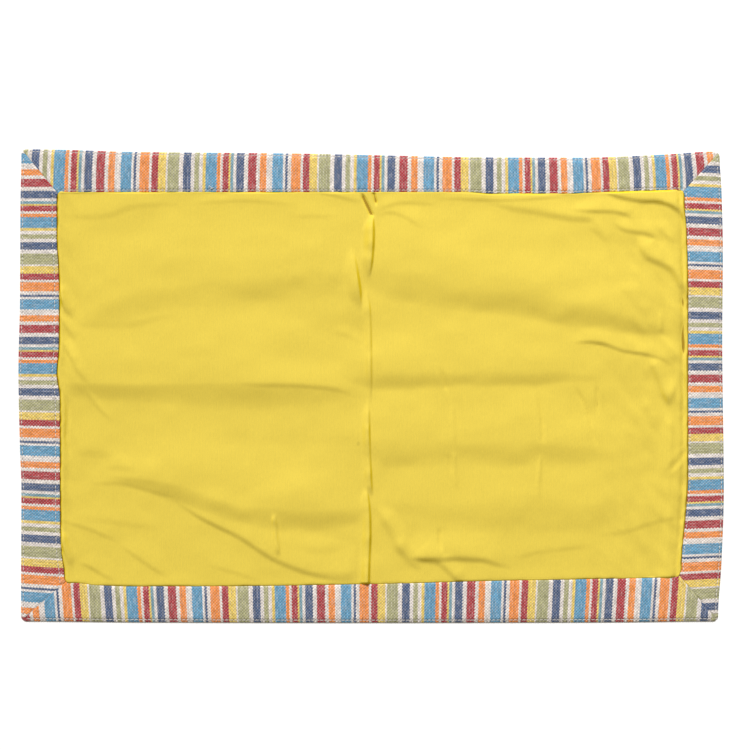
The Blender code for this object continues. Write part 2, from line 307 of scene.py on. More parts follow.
# %% [markdown]
# ## Where the folds and creases are
#
# The broad folds are those of the solids. Walking a crest from its first place, the left-hand width comes
# first, then the right-hand width, which a broad fold has for both ends. A negative height is a groove.

# %% Broad folds
FOLDS = (
    Ridge("upper left", 1.45, 46, 18, 22, 1.0, 0.15, 0.25,
          ((-198, 44), (-150, 64), (-111, 68), (-72, 73), (-33, 75), (9, 69))),
    Ridge("mid left", 1.9, 60, 10, 24, 0.85, 0.10, 0.42,
          ((-210, 2), (-111, 2), (-66, 2), (-24, 1), (0, -1))),
    Ridge("low left", 2.1, 46, 10, 18, 1.0, 0.26, 0.30,
          ((-180, -54), (-128, -63), (-85, -76), (-59, -80), (-27, -79), (19, -78))),
    Ridge("low left branch", 1.2, 26, 2.8, 5.5, 1.3, 0.22, 0.08,
          ((-130, -73), (-107, -86), (-84, -97), (-63, -110), (-46, -117), (-7, -127))),
    Ridge("upper right", 2.3, 46, 26, 14, 1.3, 0.18, 0.25,
          ((-20, 81), (25, 77), (84, 66), (149, 53), (214, 37))),
    Ridge("mid right", 1.5, 38, 15, 12, 1.4, 0.20, 0.32,
          ((-27, 10.5), (51, 13), (97, 12.5), (160, 7))),
    Ridge("lower right", 1.9, 38, 20, 16, 1.0, 0.18, 0.35,
          ((-27, -32), (32, -35), (110, -36), (178, -43))),
    Ridge("low right", 1.2, 36, 20, 20, 1.0, 0.30, 0.30,
          ((-14, -73), (45, -77), (123, -77), (198, -75))),
)

CENTRE_CREASE = (
    crease("upper pleat", -1.6, 1.8, 2.3, (0.25, 0.2), (-6.4, 126.5), (-4.6, 122.6), (-1.9, 116.8),
           (0.4, 111.5), (2.6, 110)),
    crease("second pleat", -1.1, 1.5, 2.0, (0.2, 0.35), (1.4, 128), (2.3, 124.5), (3.2, 121), (3.4, 117)),
    crease("upper", 2.4, 2.3, 7.5, (0.3, 0.35), (1.5, 113.5), (0.5, 108), (0.4, 99), (0, 88.6), (-0.8, 81),
           (-1.8, 69)),
    crease("side", 2.1, 2.4, 9, (0.45, 0.30), (-13.8, 92.5), (-11.5, 83.4), (-9.9, 72.3), (-8.3, 62.6),
           (-6.7, 49.6)),
    crease("middle", 1.0, 2.0, 4.5, (0.25, 0.30), (-3.4, 68), (-1.6, 50), (-1.1, 30), (-0.9, 9),
           (-1.2, -15)),
    crease("below middle", 1.5, 2.1, 5.5, (0.30, 0.15), (-2, -5.7), (-2.4, -28), (-1.9, -43), (-1.5, -56),
           (-0.8, -63.5), (1.1, -72.6)),
    crease("lower", 1.9, 2.2, 6, (0.20, 0.05), (-3.4, -63.5), (-2.4, -74), (-1.5, -87), (-1.9, -100),
           (-2.4, -113), (-2.8, -132)),
)
print(len(FOLDS), "folds and", len(CENTRE_CREASE), "lengths of centre crease")

# %% [markdown]
# The small creases come in families. Those beside the side seams are puckers, where the seam has drawn the
# cloth in. Those down the right half are the faint marks of a second, sharper folding. A crease that runs up
# and down is raised where the photograph shows it bright on its left, and sunk where it is dark there.

# %% Small creases
# Each row: height, width to the left, to the right, fades, and the places of the crest
CREASE_ROWS = (
    # near the centre crease
    (0.5, 10, 14, 0.4, (-17, 81), (-12, 66), (-9, 50), (-7, 30)),
    (0.42, 12, 2.2, 0.35, (1, 110), (6, 112), (12, 114), (17, 113), (37, 101)),
    (0.4, 9, 2.2, 0.35, (2, 113), (8, 117), (13.5, 119), (45, 119)),
    (0.4, 9, 2.4, 0.35, (-38, 126), (-22, 124.5), (-12, 122), (-3, 120)),
    (0.25, 6, 3, 0.35, (-27, 37), (-15, 34), (-5, 28)),
    (0.5, 18, 3.4, 0.3, (-92, 2), (-71, 2.2), (-40, 1.5), (-22, -1), (-6, -8)),
    # along the top seam
    (0.36, 16, 4.5, 0.3, (-204, 112), (-183, 112), (-170, 113.5), (-162, 117), (-141, 120), (-118, 119)),
    (0.34, 9, 2.6, 0.35, (-120, 118.5), (-85, 122), (-46, 118)),
    (0.26, 10, 3, 0.4, (-56, 111), (-40, 111.5), (-19, 111)),
    (-0.3, 1.5, 1.5, 0.3, (-96.4, 129), (-96.7, 125.5), (-95.7, 121.7)),
    (0.42, 8, 1.6, 0.3, (37, 124), (48, 122.5), (58, 122), (129, 123)),
    # upper right corner
    (0.8, 12, 5, 0.3, (71, 121), (97, 117), (130, 111), (144, 109), (156, 94)),
    (0.8, 10, 2.6, 0.3, (128, 115), (149, 114.5), (160, 114), (168, 111.5), (173, 103)),
    (1.5, 12, 3, 0.25, (149, 127), (162, 124), (175, 122), (189, 121), (201, 114), (204, 105)),
    (0.9, 10, 3, 0.3, (156, 108), (164, 103), (182, 99), (190, 94)),
    (1.4, 14, 4.8, 0.2, (173, 99), (177, 90), (181, 85), (190, 81), (197, 77), (202, 69), (205, 57)),
    (0.5, 8, 3, 0.35, (184, 108), (190, 101), (201, 92)),
    (0.5, 9, 5, 0.35, (160, 64), (169, 61), (175, 54), (180, 44)),
    (0.55, 7, 4, 0.35, (139, 104), (146, 103), (151, 99), (156, 91)),
    # beside the left seam
    (0.5, 5, 2, 0.35, (-203, 112), (-200, 103), (-198, 92), (-194, 81)),
    (1.2, 8, 2.6, 0.3, (-204, 69), (-201, 59), (-198, 51), (-194, 43)),
    (0.9, 6, 2.2, 0.35, (-202, 48), (-199, 41), (-196, 36), (-192, 29)),
    (0.9, 7, 2.0, 0.35, (-202, 35), (-200, 28), (-196, 22), (-191, 12), (-183, 0)),
    (-0.8, 2.4, 2, 0.3, (-202, -1), (-198, -10), (-198, -35), (-195, -52)),
    (-0.25, 2.4, 2, 0.4, (-197, -48), (-197.5, -61), (-197, -77)),
    (1.3, 6, 2.4, 0.3, (-203, -92), (-200, -102), (-197, -110), (-194, -119)),
    (0.36, 26, 6, 0.35, (-205, 41.7), (-183, 42), (-157, 43), (-123, 49.5)),
    # lower left quarter
    (0.45, 22, 3.2, 0.3, (-187, -62), (-162, -62), (-149, -65), (-122, -73)),
    (0.42, 12, 2.6, 0.35, (-204, -86), (-181, -93), (-172, -97), (-161, -102)),
    (0.3, 12, 5, 0.4, (-198, -82), (-183, -84), (-157, -88), (-131, -93)),
    (0.55, 12, 2.6, 0.35, (-191, -114), (-181, -117.5), (-174, -122), (-165, -127)),
    (0.55, 14, 2.8, 0.35, (-165, -102), (-152, -110), (-142, -117), (-131, -125)),
    (0.3, 12, 2.8, 0.35, (-111, -114), (-95, -118), (-85, -121), (-71, -127)),
    (0.45, 4, 2, 0.35, (-187, -1), (-179, -11), (-174, -17), (-167, -23)),
    (0.3, 8, 6, 0.4, (-196, -41), (-181, -41), (-165, -44)),
    (0.3, 8, 5, 0.4, (-176, -54), (-165, -50.5), (-150, -54)),
    (0.28, 8, 6, 0.4, (-53, -102), (-33, -104), (-14, -102.5)),
    (1.5, 1.4, 2.4, 0.2, (-63.3, -82), (-62.3, -91), (-61.2, -100), (-59.8, -111)),
    # lower right quarter
    (1.3, 9, 6, (0.3, 0.4), (3.5, -77), (10, -86), (16.6, -96.6), (20.6, -105), (24.4, -113)),
    (0.8, 10, 5, (0.3, 0.35), (12, -101), (20, -106), (26, -112), (33, -120)),
    (1.2, 24, (5, 1.2), (0.2, 0.3), (21, -111), (35, -110), (64, -110), (75, -111), (82, -114), (95, -118)),
    (1.1, 9, 4, (0.3, 0.35), (41, -112), (49, -117), (54, -122), (60, -129)),
    (0.7, 12, 4.5, 0.35, (27, -109), (35, -111), (42, -112.5), (50, -113)),
    (0.25, 12, 3, 0.35, (84, -114), (103, -108), (117, -105.5), (149, -102.5)),
    (0.42, 16, 4, 0.35, (142, -96), (165, -93), (178, -89), (190, -85.6), (208, -83)),
    # faint upright creases of the right half
    (-0.8, 1.6, 1.4, 0.3, (44.5, 13), (46, 8), (47.6, 2), (49.5, -5.5)),
    (0.55, 1.3, 1.8, (0.3, 0.2), (50.5, -6), (52.6, -12), (53.5, -24), (54.3, -39)),
    (-0.5, 1.4, 1.4, 0.3, (49.6, -43), (51.2, -50), (52.8, -57)),
    (0.6, 1.3, 1.8, (0.2, 0.3), (53.6, -40), (54.2, -48), (54.9, -58), (55.6, -70)),
    (-0.9, 1.4, 1.4, 0.3, (44.2, -90), (44.4, -96), (44.8, -101), (45.8, -108)),
    (-0.85, 1.9, 1.5, (0.3, 0.2), (107.6, -2), (109.4, -11), (110.9, -24), (111.6, -40)),
    (0.8, 1.4, 1.8, (0.3, 0.35), (111, -40), (109.7, -52), (108.9, -62), (109.4, -78)),
    (-0.8, 1.6, 1.3, 0.3, (129, 5), (136, -7), (141, -17), (144, -30), (148, -44)),
    (-0.6, 2.2, 1.6, 0.35, (146.6, 4), (147, -8), (147, -20)),
    (0.6, 1.5, 1.5, 0.35, (187.7, 50), (188.3, 42), (188.3, 33)),
    # beside the right seam
    (0.95, 12, (2.0, 1.5), (0.3, 0.2), (128, 28), (142, 29.7), (150, 29), (165, 24), (178, 22), (188, 19),
     (198, 12)),
    (1.7, 8, 5, (0.25, 0.3), (180, 22), (186, 10), (190, 0), (195, -14)),
    (-0.2, 1.6, 3, (0.2, 0.25), (201.5, 45), (202.5, 27), (203, -9), (203.3, -40)),
    (0.7, 4, 9, 0.3, (190, -6), (194, -22), (193.5, -41), (192, -61), (191, -84)),
    (0.6, 5, 4.5, 0.35, (171, 27), (175, 16), (180, 1.5)),
    (-0.6, 4, 3, 0.35, (191, -58), (198, -50.5), (206, -40)),
    (0.6, 5, 4.5, 0.35, (176, -4), (182, -17), (188, -32)),
    (-0.5, 3, 4, 0.3, (195, -79), (197, -93), (197, -108), (198, -125)),
    (0.7, 3, 6, 0.35, (186, 35), (194, 26), (201, 14.5)),
    (0.35, 3.4, 4, 0.35, (198, 10.6), (197, 1.5), (194, -6), (190, -13)),
)
CREASES = tuple(crease("small", *row) for row in CREASE_ROWS)
print(len(CREASES), "small creases")

# %% [markdown]
# ## The panel's surface
#
# The panel is one function of two parameters: its share along the mat and its share across it. Opposite seams
# are blended to give the plan, and the height is the flat cloth, plus the roll into each seam, plus the
# ridges, plus a faint unevenness. Its edge reaches a little under the border strips, as it does on the real
# mat, where it is caught in the seam. The left and right seams are drawn tighter, so the cloth puffs up more
# beside them.

# %% Plan of the panel
TUCK = 1.2               # the panel's edge reaches this far under the strips
TUCKED_TOP = 0.42        # and lies this high there
EDGE_STEPS = (0.0, 0.5, 0.9, 1.2, 1.45, 1.7, 1.95, 2.2, 2.5, 2.9, 3.4, 4.2, 5.4)
PANEL_PITCH = 1.2        # spacing of the panel's mesh
CREASE_PITCH = 0.5       # spacing beside the centre crease
CREASE_BAND = 12.0       # and how far that reaches to either side
FINE_STATIONS = 4001     # places at which the spacing is summed up


def stations(length, edge_steps, pitch, middle_pitch=None):
    """Spread places over a side as shares of its length: closer beside both ends and perhaps in the middle.
    Length over spacing is summed up along the side, and each whole number of that sum is a place."""
    near = np.array(edge_steps)
    along = np.linspace(near[-1], length - near[-1], FINE_STATIONS)
    off_middle = (along - length / 2) / CREASE_BAND
    spacing = pitch + ((middle_pitch or pitch) - pitch) * np.exp(-off_middle ** 4)
    counted = np.concatenate(([0.0], np.cumsum(np.diff(along) / spacing[1:])))
    middle = np.interp(np.linspace(0, counted[-1], round(counted[-1]) + 1), counted, along)
    return np.concatenate((near[:-1], middle, length - near[-2::-1])) / length


def grid_between(sides, columns, rows):
    """Fill the inside of four sides with a grid: blend opposite sides and take the corners' share off."""
    top, bottom, left, right = (sides[name] for name in ("top", "bottom", "left", "right"))
    u, v = columns[None, :, None], rows[:, None, None]
    across = (1 - u) * left[:, None] + u * right[:, None]
    upward = (1 - v) * bottom[None] + v * top[None]
    corners = ((1 - u) * (1 - v) * bottom[0] + u * (1 - v) * bottom[-1]
               + (1 - u) * v * top[0] + u * v * top[-1])
    return across + upward - corners


def panel_plan():
    """The panel's grid seen from above, from seam to seam and a tuck further."""
    columns = stations(PANEL_LENGTH, EDGE_STEPS, PANEL_PITCH, CREASE_PITCH)
    rows = stations(PANEL_WIDTH, EDGE_STEPS, PANEL_PITCH)
    sides = {name: moved_out(SEAM.side(name, columns if side.along_x else rows), name, TUCK)
             for name, side in SIDES.items()}
    for name, end in (("left", 0), ("right", -1)):
        sides[name][0] = sides["bottom"][end]
        sides[name][-1] = sides["top"][end]
    return grid_between(sides, columns, rows)


plan = panel_plan()
print("the panel's grid is", plan.shape[0], "x", plan.shape[1], "points")

# %% Rolls and rumples of the panel
# How high the panel stands at a distance from each seam, negative under the strip: (distance, height)
TIGHT_SEAM = ((-1.2, 0.42), (0.5, 0.42), (0.65, 1.1), (0.85, 1.6), (1.25, 1.95), (2.3, 2.2), (4.6, 1.75),
              (9.0, 1.4))
PUCKERED_SEAM = ((-1.2, 0.42), (0.45, 0.42), (0.6, 0.95), (0.9, 1.4), (1.3, 1.5), (2.2, 1.3), (3.3, 0.86),
                 (5.5, 1.75), (7.2, 1.9), (10.0, 1.88), (16.0, 1.4))
FAR_SEAM = ((-1.2, 0.42), (-0.3, 0.66), (0.0, 1.2), (0.2, 1.42), (0.6, 1.47), (3.0, 1.43), (9.0, 1.4))
NEAR_SEAM = ((-1.2, 0.42), (-0.3, 0.66), (0.25, 1.15), (0.7, 1.36), (2.2, 1.48), (9.0, 1.4))
SEAM_ROLL = {"left": TIGHT_SEAM, "right": PUCKERED_SEAM, "top": FAR_SEAM, "bottom": NEAR_SEAM}
# How unevenly a seam draws the panel in: (distance, size along X, size along Y, seed)
SEAM_DRAW = ((0.30, 3.2, 3.2, 41), (0.22, 11, 11, 42))
FOLD_EASE = 9.0          # the broad folds die out over this distance from the seam
CREASE_EASE = 1.4        # and the small creases over this
FOLD_WAVER = 0.16        # how unevenly a fold runs, as a share of its height
CREASE_WAVER = 0.22

# Unevenness of the cloth: (height, size along X, size along Y, seed)
UNEVENNESS = ((0.30, 26, 17, 1), (0.13, 12, 9, 2), (0.045, 5, 6, 3), (0.012, 1.9, 3.5, 4))
# Slanting rumples, where the side seams draw the cloth in: (height, size along, size across, seed)
SEAM_RUMPLES = ((0.42, 17, 6, 5), (0.2, 8, 3.6, 6))
RUMPLE_SLANT = math.radians(-62)
RUMPLE_REACH = {"left": (26.0, 0.7), "right": (95.0, 1.0)}       # how far in from the seam, and how strong
# Sideways wander of the folds' crests: (distance, size along X, size along Y, seed)
WANDER_X = ((1.8, 34, 26, 11), (0.7, 13, 11, 12))
WANDER_Y = ((1.5, 30, 24, 13), (0.8, 12, 9, 14))
STRAIGHT_SHARE = 0.2     # of that wander, for creases and for folds with a crisp edge
CRISP = ("mid left", "low left branch")
print("the panel rolls into its left seam from a crest", max(height for _, height in TIGHT_SEAM), "mm high")

# %% Height of the panel
def seam_distances(plan):
    """Distance of each point from each seam, measured along the grid."""
    x, y = plan[..., 0], plan[..., 1]
    return {"left": x - x[:, :1] - TUCK, "right": x[:, -1:] - x - TUCK,
            "bottom": y - y[:1] - TUCK, "top": y[-1:] - y - TUCK}


def panel_height(plan):
    """Upper face of the panel: flat cloth + rolls into the seams + folds and creases + unevenness."""
    x, y = plan[..., 0], plan[..., 1]
    away = seam_distances(plan)
    nearest = np.minimum.reduce(list(away.values()))
    drawn = sum_of_rumples(SEAM_DRAW, x, y)
    rolls = sum(smooth_through(SEAM_ROLL[name], away[name] + drawn) - PANEL_TOP for name in SIDES)
    shift_x, shift_y = sum_of_rumples(WANDER_X, x, y), sum_of_rumples(WANDER_Y, x, y)
    places = {"soft": (x + shift_x, y + shift_y),
              "crisp": (x + STRAIGHT_SHARE * shift_x, y + STRAIGHT_SHARE * shift_y)}
    folds = sum(ridge_height(fold, *places["crisp" if fold.name in CRISP else "soft"], FOLD_WAVER)
                for fold in FOLDS)
    creases = sum(ridge_height(mark, *places["crisp"], CREASE_WAVER) for mark in CENTRE_CREASE + CREASES)
    uneven = sum_of_rumples(UNEVENNESS, x, y)
    down = x * math.cos(RUMPLE_SLANT) + y * math.sin(RUMPLE_SLANT)
    beside = y * math.cos(RUMPLE_SLANT) - x * math.sin(RUMPLE_SLANT)
    slanting = sum_of_rumples(SEAM_RUMPLES, down, beside)
    for name, (reach, strength) in RUMPLE_REACH.items():
        uneven += strength * (1 - smooth_step(away[name] / reach)) * slanting
    broad, fine = smooth_step(nearest / FOLD_EASE), smooth_step(nearest / CREASE_EASE)
    return np.maximum(PANEL_TOP + rolls + (folds * broad + (creases + uneven) * fine), TUCKED_TOP)


upper = panel_height(plan)
print("upper face of the panel:", upper.min().round(2), "to", upper.max().round(2), "mm above the table")

# %% [markdown]
# ## From a grid to a closed sheet
#
# Cloth has two faces. The upper one needs a fine mesh for its creases, the lower one lies on the table and
# can be coarser. Both share the fine rim, so the sheet is closed: the cells of the lower face along the rim
# simply have more corners.

# %% Closed sheet
UNDERSIDE_STEP = 5       # the lower face keeps every fifth row and column


def quads(index):
    """Faces of a grid of point numbers, facing up."""
    return np.stack((index[:-1, :-1], index[:-1, 1:], index[1:, 1:], index[1:, :-1]), -1).reshape(-1, 4)


def rim(index):
    """The point numbers round a grid's rim, counterclockwise."""
    return np.concatenate((index[0], index[1:, -1], index[-1, -2::-1], index[-2:0:-1, 0]))


def coarse_faces(index, step):
    """Faces of a grid that keeps only every few rows and columns, and every point of its rim, facing down."""
    rows, columns = (np.unique(np.append(np.arange(0, n, step), n - 1)) for n in index.shape)
    kept = np.zeros(index.max() + 1, dtype=bool)
    kept[rim(index)] = True
    kept[index[np.ix_(rows, columns)]] = True
    faces = quads(index[np.ix_(rows[1:-1], columns[1:-1])])[:, ::-1].tolist()
    for r0, r1 in zip(rows[:-1], rows[1:]):
        for c0, c1 in zip(columns[:-1], columns[1:]):
            if r0 == 0 or c0 == 0 or r1 == rows[-1] or c1 == columns[-1]:
                ring = rim(index[r0:r1 + 1, c0:c1 + 1])
                faces.append(ring[kept[ring]][::-1].tolist())
    return faces


def sheet_faces(shape, step):
    """Faces of a closed sheet whose points are an upper grid followed by a lower grid."""
    top, low = np.arange(2 * shape[0] * shape[1]).reshape(2, *shape)
    edge_top, edge_low = rim(top), rim(low)
    walls = np.stack((edge_low, np.roll(edge_low, -1), np.roll(edge_top, -1), edge_top), -1)
    return quads(top).tolist() + walls.tolist() + coarse_faces(low, step)


print("a sheet of 11 by 11 points has", len(sheet_faces((11, 11), UNDERSIDE_STEP)), "faces")

# %% Filling a mesh
def make_mesh(name, points, faces, weave_places, material):
    """A piece of cloth or thread, smooth-shaded, from points in millimetres and places in threads. Points
    that no face uses, as on the coarse lower side of a sheet, are left out."""
    used, new_number = np.unique(np.concatenate([np.array(face) for face in faces]), return_inverse=True)
    counts = np.array([len(face) for face in faces])
    starts = np.concatenate(([0], np.cumsum(counts)))
    faces = [new_number[a:b].tolist() for a, b in zip(starts[:-1], starts[1:])]
    mesh = bpy.data.meshes.new(name)
    mesh.from_pydata((points[used] * MM).tolist(), [], faces)
    mesh.shade_smooth()
    layer = mesh.uv_layers.new(name="threads")
    corner_points = np.empty(len(mesh.loops), dtype=np.int32)
    mesh.loops.foreach_get("vertex_index", corner_points)
    layer.uv.foreach_set("vector", weave_places[used][corner_points].astype(np.float32).ravel())
    mesh.materials.append(material)
    piece = bpy.data.objects.new(name, mesh)
    bpy.context.scene.collection.objects.link(piece)
    triangles = sum(len(face) - 2 for face in faces)
    print(name, "has", len(used), "points and", triangles, "triangles")
    return piece

# %% [markdown]
# ## Shader nodes as formulas
#
# A woven cloth is a pattern of numbers before it is a colour, so its material is mostly arithmetic. This
# small class adds a node for each term and links it, which lets a material be read like a formula.

# %% A notebook for shader nodes
class Graph:
    """The shader nodes of one material."""

    def __init__(self, name, roughness, sheen, gloss=0.25):
        self.material = bpy.data.materials.new(name)
        self.material.use_nodes = True
        self.nodes = self.material.node_tree.nodes
        self.links = self.material.node_tree.links
        self.shader = self.nodes["Principled BSDF"]
        self.shader.inputs["Roughness"].default_value = roughness
        self.shader.inputs["Specular IOR Level"].default_value = gloss
        self.shader.inputs["Sheen Weight"].default_value = sheen
        self.shader.inputs["Sheen Roughness"].default_value = 0.5

    def put(self, kind, inputs, **settings):
        """Add a node, set it, feed it numbers or other nodes' outputs, and return its outputs."""
        node = self.nodes.new(kind)
        for setting, value in settings.items():
            setattr(node, setting, value)
        for socket, value in inputs.items():
            if isinstance(value, bpy.types.NodeSocket):
                self.links.new(value, node.inputs[socket])
            else:
                node.inputs[socket].default_value = value
        return node.outputs

    def math(self, operation, a, b=0.0, c=0.0):
        """One step of arithmetic."""
        return self.put("ShaderNodeMath", {0: a, 1: b, 2: c}, operation=operation)[0]

    def vector(self, x, y):
        """Two numbers as a place in a plane."""
        return self.put("ShaderNodeCombineXYZ", {0: x, 1: y})[0]

    def split(self, place):
        """A place as its three numbers."""
        return self.put("ShaderNodeSeparateXYZ", {0: place})

    def noise(self, x, y, detail=0.0):
        """Smooth noise about 0.5 at a place in the plane."""
        return self.put("ShaderNodeTexNoise", {"Vector": self.vector(x, y), "Scale": 1.0, "Detail": detail},
                        noise_dimensions="2D")[0]

    def grain(self, x, y, fineness, detail=0.0):
        """Noise over a surface, from its places in metres and the number of grains to a metre."""
        return self.noise(self.math("MULTIPLY", x, fineness), self.math("MULTIPLY", y, fineness), detail)

    def between(self, value, start, end, low=0.0, high=1.0):
        """From low to high as the value goes from start to end, straight and no further."""
        return self.put("ShaderNodeMapRange", {"Value": value, "From Min": start, "From Max": end,
                                               "To Min": low, "To Max": high})[0]

    def around_one(self, value, swing):
        """Turn a number about 0.5 into a factor about 1."""
        return self.math("MULTIPLY_ADD", value, 2 * swing, 1 - swing)

    def scaled(self, colour, factor):
        """A colour times a number. A fixed colour leaves off its opacity, which a vector has no room for."""
        if not isinstance(colour, bpy.types.NodeSocket):
            colour = colour[:3]
        return self.put("ShaderNodeVectorMath", {0: colour, "Scale": factor}, operation="SCALE")[0]

    def tinted(self, colour, tint, strength):
        """A colour seen through a filter of another colour, as strongly as a number from 0 to 1 says."""
        through = self.put("ShaderNodeVectorMath", {0: colour, 1: tint}, operation="MULTIPLY")[0]
        return self.mixed(strength, colour, through)

    def mixed(self, factor, first, second):
        """From the first colour at 0 to the second at 1."""
        return self.put("ShaderNodeMix", {0: factor, 6: first, 7: second}, data_type="RGBA")[2]

    def finish(self, colour, height, depth):
        """Send the colour, and the height as fine relief, to the shader."""
        self.links.new(colour, self.shader.inputs["Base Color"])
        relief = self.put("ShaderNodeBump", {"Height": height, "Distance": depth * MM, "Strength": 1.0})
        self.links.new(relief[0], self.shader.inputs["Normal"])
        return self.material


def linear(red, green, blue):
    """A screen colour, 0 to 255, as the linear colour that a shader works with."""
    screen = np.array((red, green, blue)) / 255
    light = np.where(screen <= 0.04045, screen / 12.92, ((screen + 0.055) / 1.055) ** 2.4)
    return (*light.tolist(), 1.0)


print("a middle grey of 128 is", round(linear(128, 128, 128)[0], 3), "in linear colour")

# %% [markdown]
# ## The weave
#
# Both cloths are plain weave: each end of the warp floats over one pick, dives under the next, and its
# neighbours do the opposite. So the surface is a checkerboard of small hills, and as a formula it is one
# cosine across the ends times one along the picks. The hills are warp, and in the hollows between them the
# weft shows. A raised end also spreads over its neighbours, which moves the edge of a stripe a little, to one
# side on even picks and to the other on odd ones. That is why the stripes look dotted at their edges.
#
# The pattern is charted in threads and not in millimetres: the UV map "threads" holds the number of ends
# across and the number of picks along, and the shader works out the rest. The striped cloth is drawn with
# threads a millimetre apart, a little coarser than the real one, because finer threads blur away in a picture
# of the whole mat.

# %% Weave chart
Cloth = namedtuple("Cloth", "end_pitch pick_pitch relief hill hollow weft_share sheen gloss uneven")
# Pitches and relief in millimetres. Each kind of unevenness: its size, if it has one, its seed and its swing
# The two factors after the relief are painted light and shade on the weave: colour on a hill times the first,
# in a hollow times the second
STRIPED = Cloth(1.0, 1.0, 0.10, 1.12, 0.78, 0.3, 0.12, 0.25,
                (("streak", 5, 60.5, 0.2), ("streak", 80, 90.5, 0.06), ("chance", 5.0, 0.14),
                 ("patch", 14, 2.0, 0.05)))
YELLOW_CLOTH = Cloth(0.30, 0.34, 0.03, 1.03, 0.94, 0.4, 0.0, 0.3,
                     (("streak", 8, 0.5, 0.05), ("streak", 60, 40.5, 0.03), ("chance", 3.0, 0.03),
                      ("patch", 40, 7.0, 0.02)))
DULLNESS, DULL_SWING = 0.88, -0.06        # roughness half-way up a hill, and its change towards the top
WEFT_SHOWS = (-0.1, -0.9)                # heights between which the weft comes out


class Weave(Graph):
    """A woven material. Places are counted in ends across and picks along. The height is 1 on top of a raised
    end and -1 in the middle of a lowered one: cosine of pi times the ends by cosine of pi times the picks."""

    def __init__(self, name, cloth):
        super().__init__(name, DULLNESS, cloth.sheen, cloth.gloss)
        self.cloth = cloth
        place = self.put("ShaderNodeUVMap", {}, uv_map="threads")["UV"]
        self.across, self.along, _ = self.split(place)
        self.end = self.math("FLOOR", self.across)
        self.pick = self.math("FLOOR", self.along)
        self.height = self.math("MULTIPLY", self.wave(self.across), self.wave(self.along))
        dullness = self.math("MULTIPLY_ADD", self.height, DULL_SWING, DULLNESS)
        self.links.new(dullness, self.shader.inputs["Roughness"])

    def wave(self, threads):
        """Cosine that is 1 in the middle of an even thread and -1 in the middle of an odd one."""
        return self.math("COSINE", self.math("MULTIPLY_ADD", threads, math.pi, -math.pi / 2))

    def chance(self, seed):
        """A random number from 0 to 1 for each crossing of an end and a pick."""
        place = self.vector(self.math("ADD", self.end, seed), self.pick)
        return self.put("ShaderNodeTexWhiteNoise", {"Vector": place}, noise_dimensions="2D")[0]

    def streak(self, length, seed):
        """Uneven yarn: a number about 0.5 that changes from end to end, and along an end over some picks."""
        return self.noise(self.math("ADD", self.end, seed), self.math("MULTIPLY", self.along, 1 / length))

    def patch(self, size, seed):
        """Slow fading over the cloth: a number about 0.5 that changes over some millimetres."""
        across = self.math("MULTIPLY_ADD", self.across, self.cloth.end_pitch / size, seed)
        return self.noise(across, self.math("MULTIPLY", self.along, self.cloth.pick_pitch / size), 2.0)

    def factors(self):
        """The cloth's unevenness as factors about 1 on its colour."""
        kinds = {"chance": self.chance, "streak": self.streak, "patch": self.patch}
        return [self.around_one(kinds[kind](*settings), swing)
                for kind, *settings, swing in self.cloth.uneven]

    def woven(self, warp, weft, factors):
        """The warp, with some weft in the hollows, times all factors, with painted light on hills and painted
        shade in hollows.
        """
        colour = self.mixed(self.between(self.height, *WEFT_SHOWS, high=self.cloth.weft_share), warp, weft)
        # painted shade of the weave's relief: the colour is lighter on the hills and darker in the hollows
        light = self.between(self.height, -1.0, 1.0, self.cloth.hollow, self.cloth.hill)
        for factor in (*factors, light):
            colour = self.scaled(colour, factor)
        return colour


print("a square centimetre of the striped cloth holds", round(10 / STRIPED.end_pitch), "ends and",
      round(10 / STRIPED.pick_pitch), "picks")

# %% [markdown]
# ## Plain yellow cloth
#
# The panel is one colour, but no yarn is even. Single ends run paler or darker for a few millimetres, which
# the eye reads as fine upright streaks, and the cloth has faded a little unevenly. A thick slub of yarn
# beside the centre crease has left a small darker spot. Light that passes through thin yellow cloth loses its
# blue, so where cloth stands steep beside other cloth it glows golden, and deep in a seam it is brown.
# Tracing light inside the cloth would show this but take very long, so two painted tints stand in for it:
# painted golden shade on faces that lean, and painted brown shade on faces that lie low.

# %% Panel material
YELLOW = linear(218, 194, 72)
YELLOW_WEFT = linear(207, 183, 81)
SLUB_PLACE = (-8.2, -37.2)
SLUB_SIZE = (1.4, 1.7)
SLUB_EDGE = (1.2, 0.2)           # squares of the distance, in its own size, where a slub begins and is full
SLUB_SHADE = 0.13
PAINTED_WALL_SHADE = (1.0, 0.96, 0.12)    # painted golden shade: colour that steep cloth is multiplied by
WALL_SHADE_FROM = (0.94, 0.72)         # upward share of a face's direction where that painted shade begins and is full
PAINTED_GAP_SHADE = (0.50, 0.40, 0.15)    # painted brown shade: colour that cloth deep in a seam is multiplied by
GAP_SHADE_LEVELS = (0.68, 0.43)        # heights above the table where that painted shade begins and is full


def slub(weave):
    """How dark the slub makes the cloth: a spot that fades with the square of the distance."""
    ways = zip((weave.across, weave.along), YELLOW_CLOTH, SLUB_PLACE, SLUB_SIZE)
    offs = [weave.math("MULTIPLY_ADD", threads, pitch / size, -middle / size)
            for threads, pitch, middle, size in ways]
    squares = [weave.math("MULTIPLY", off, off) for off in offs]
    return weave.between(weave.math("ADD", *squares), *SLUB_EDGE, high=SLUB_SHADE)


